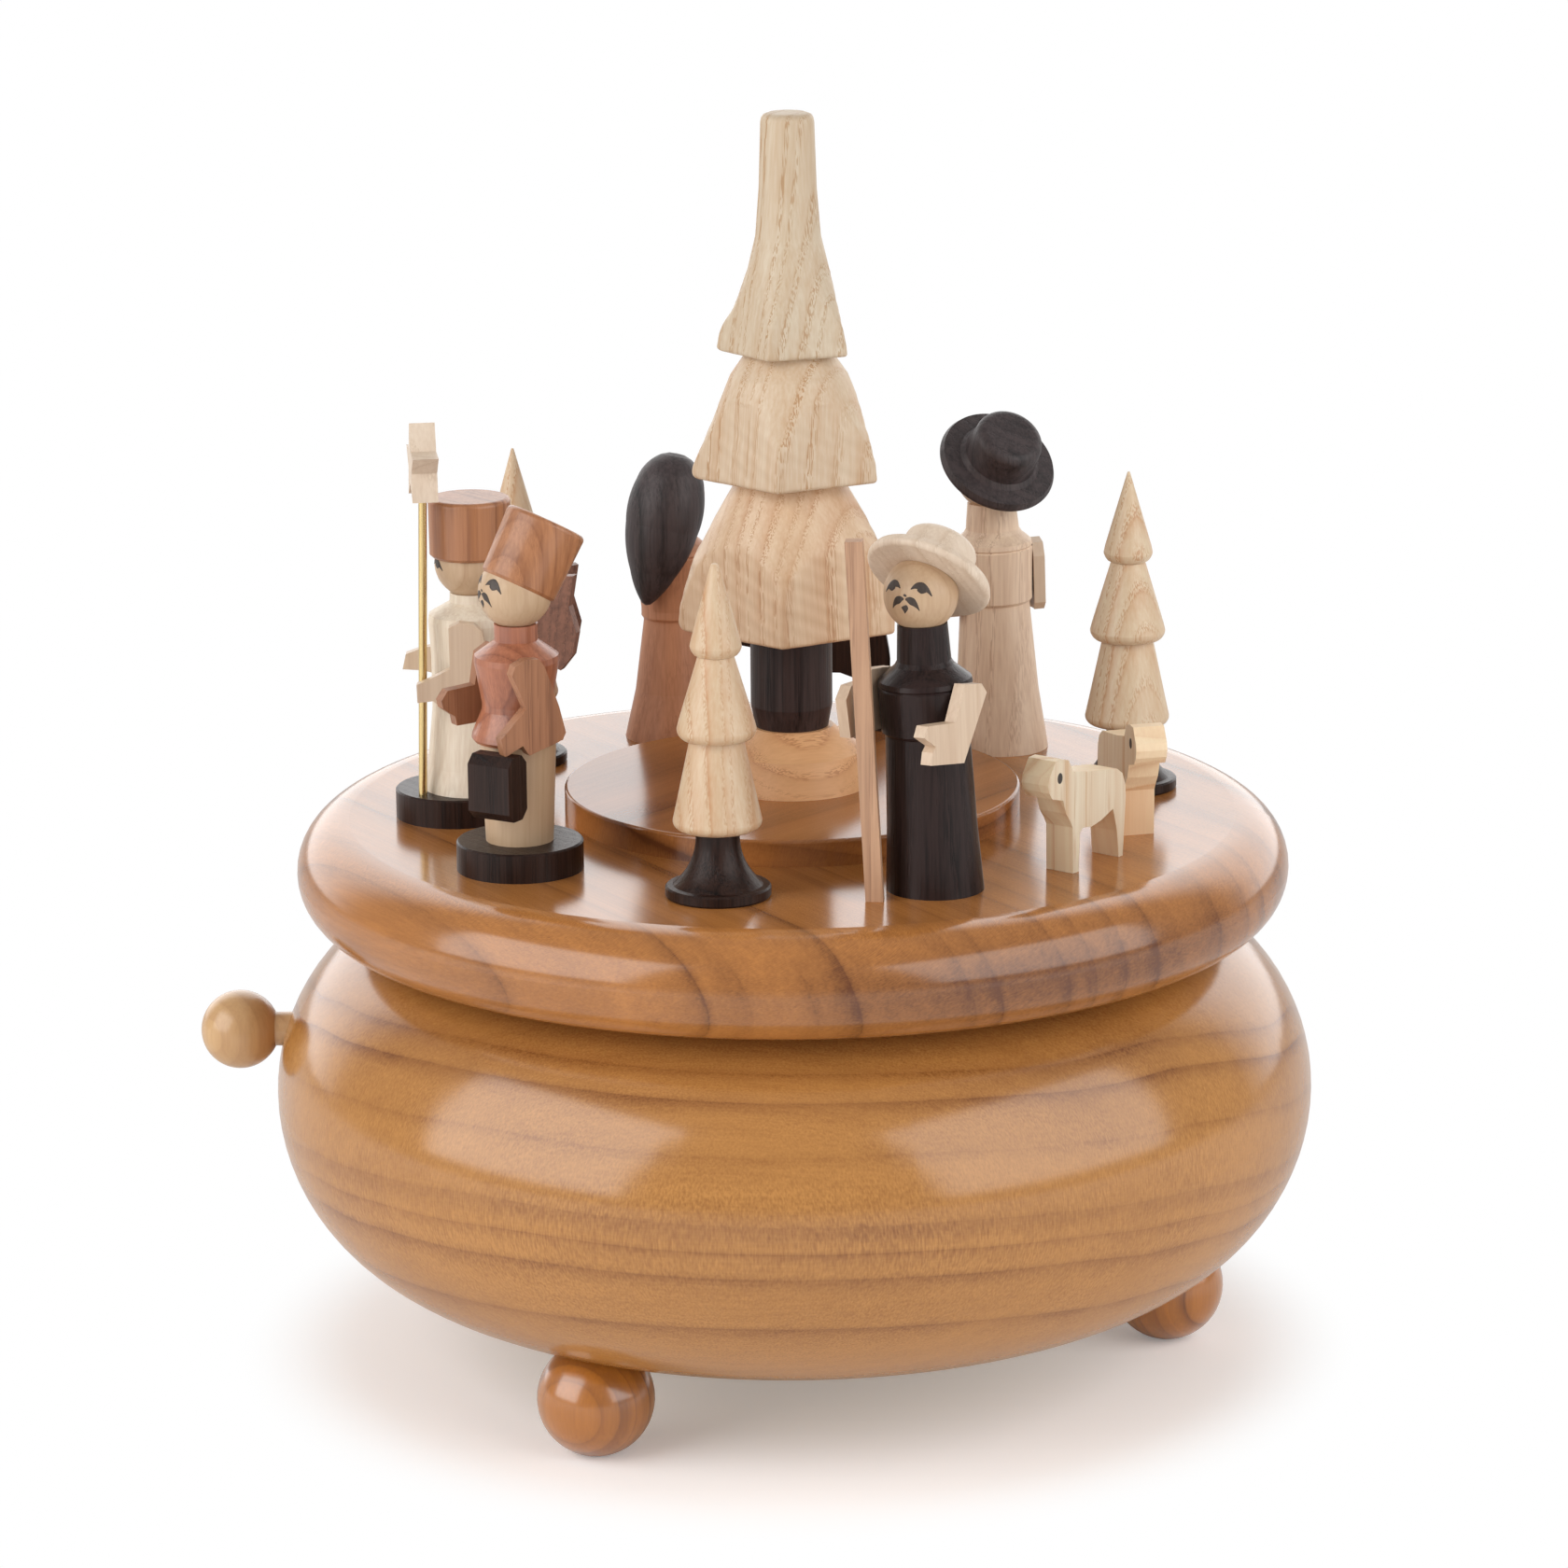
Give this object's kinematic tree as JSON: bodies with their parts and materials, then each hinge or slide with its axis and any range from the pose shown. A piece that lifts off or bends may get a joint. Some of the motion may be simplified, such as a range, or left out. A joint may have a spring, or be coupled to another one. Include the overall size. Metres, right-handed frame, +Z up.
{
  "type": "wooden music box",
  "caption": "Round wooden music box on ball feet: a turntable lid with carved trees, figures and animals turns over a comb movement, with a key below and a stop knob at the side.",
  "frame": {"origin": "on the turntable's axis, in the plane of the floor it stands on", "axes": "+Z up along the turntable's axis; -X is the side with the stop knob; -Y is the side the picture shows"},
  "size_m": [0.1955, 0.182, 0.2195],
  "materials": {
    "cherry_lacquered": "high gloss clear lacquer",
    "foot_cherry": "clear lacquer",
    "knob_wood": "satin",
    "ash_pale": "natural, cut faces",
    "maple_pale": "natural, turned",
    "pear_red": "natural, turned",
    "pink_beech": "natural, sawn",
    "black_stain": "black stained",
    "board_wood": "plain",
    "brass_bright": "bright",
    "steel_plain": "ground",
    "spring_blue": "blued",
    "key_plated": "nickel plated"
  },
  "bodies": {
    "music_box": {"bowl": "cherry_lacquered", "ball_feet": "foot_cherry", "foot_dowels": "board_wood", "base_board": "board_wood", "wood_screws": "brass_bright", "spindle_bush": "brass_bright", "bedplate": "steel_plain", "comb": "steel_plain", "comb_block": "brass_bright", "machine_screws": "steel_plain", "cylinder_bearings": "brass_bright", "governor_frame": "brass_bright"},
    "turntable": {"spring_barrel": "brass_bright", "barrel_cap": "brass_bright", "mainspring": "spring_blue", "spindle": "steel_plain", "hub_flange": "brass_bright", "hub_screws": "steel_plain", "lid": "cherry_lacquered", "centre_disc": "cherry_lacquered", "tree_base": "pink_beech", "tree_trunk": "black_stain", "tree_tier_low": "ash_pale", "tree_tier_middle": "ash_pale", "tree_tier_top": "ash_pale", "fir_crowns": "ash_pale", "fir_feet": "black_stain", "figure_heads": "maple_pale", "plinths": "black_stain", "drum_hats": "pear_red", "light_arms": "maple_pale", "angel_robe": "maple_pale", "angel_wings": "pear_red", "angel_staff": "brass_bright", "angel_star": "ash_pale", "lantern_trousers": "maple_pale", "lantern_jacket": "pear_red", "lantern_arms": "pear_red", "lantern": "black_stain", "veiled_robe": "pear_red", "veil": "black_stain", "shepherd_robe": "black_stain", "shepherd_hat": "ash_pale", "shepherd_staff": "pink_beech", "herder_robe": "pink_beech", "herder_hat": "black_stain", "sheep": "ash_pale", "donkey": "black_stain"},
    "winding_key": {"winding_key": "key_plated", "winding_arbor": "steel_plain"},
    "stop_knob": {"stop_knob": "knob_wood", "stop_rod": "knob_wood", "stop_wire": "steel_plain"},
    "pin_cylinder": {"cylinder": "brass_bright", "cylinder_pins": "steel_plain", "cylinder_arbor": "steel_plain", "cylinder_wheel": "brass_bright"},
    "governor_shaft": {"governor_arbor": "steel_plain", "worm_wheel": "brass_bright"},
    "governor_fan": {"governor_fan": "brass_bright"}
  },
  "joints": [
    {"name": "turntable_turn", "type": "hinge", "parent": "music_box", "child": "turntable", "pos_m": [0, 0, 0.09], "axis": [0, 0, 1], "continuous": true},
    {"name": "cylinder_turn", "type": "hinge", "parent": "music_box", "child": "pin_cylinder", "pos_m": [-0.03, 0, 0.04167], "axis": [1, 0, 0], "continuous": true},
    {"name": "governor_turn", "type": "hinge", "parent": "music_box", "child": "governor_shaft", "pos_m": [-0.03, -0.014, 0.04167], "axis": [1, 0, 0], "continuous": true},
    {"name": "fan_spin", "type": "hinge", "parent": "music_box", "child": "governor_fan", "pos_m": [-0.0296, -0.0205, 0.05], "axis": [0, 0, 1], "continuous": true},
    {"name": "key_wind", "type": "hinge", "parent": "music_box", "child": "winding_key", "pos_m": [0, 0, 0.008], "axis": [0, 0, 1], "continuous": true},
    {"name": "stop_slide", "type": "slide", "parent": "music_box", "child": "stop_knob", "axis": [-1, 0, 0], "range_m": [0, 0.003]}
  ],
  "couplings": [
    {"joint": "cylinder_turn", "follows": "turntable_turn", "ratio": -3},
    {"joint": "governor_turn", "follows": "turntable_turn", "ratio": 18},
    {"joint": "fan_spin", "follows": "turntable_turn", "ratio": 180}
  ]
}
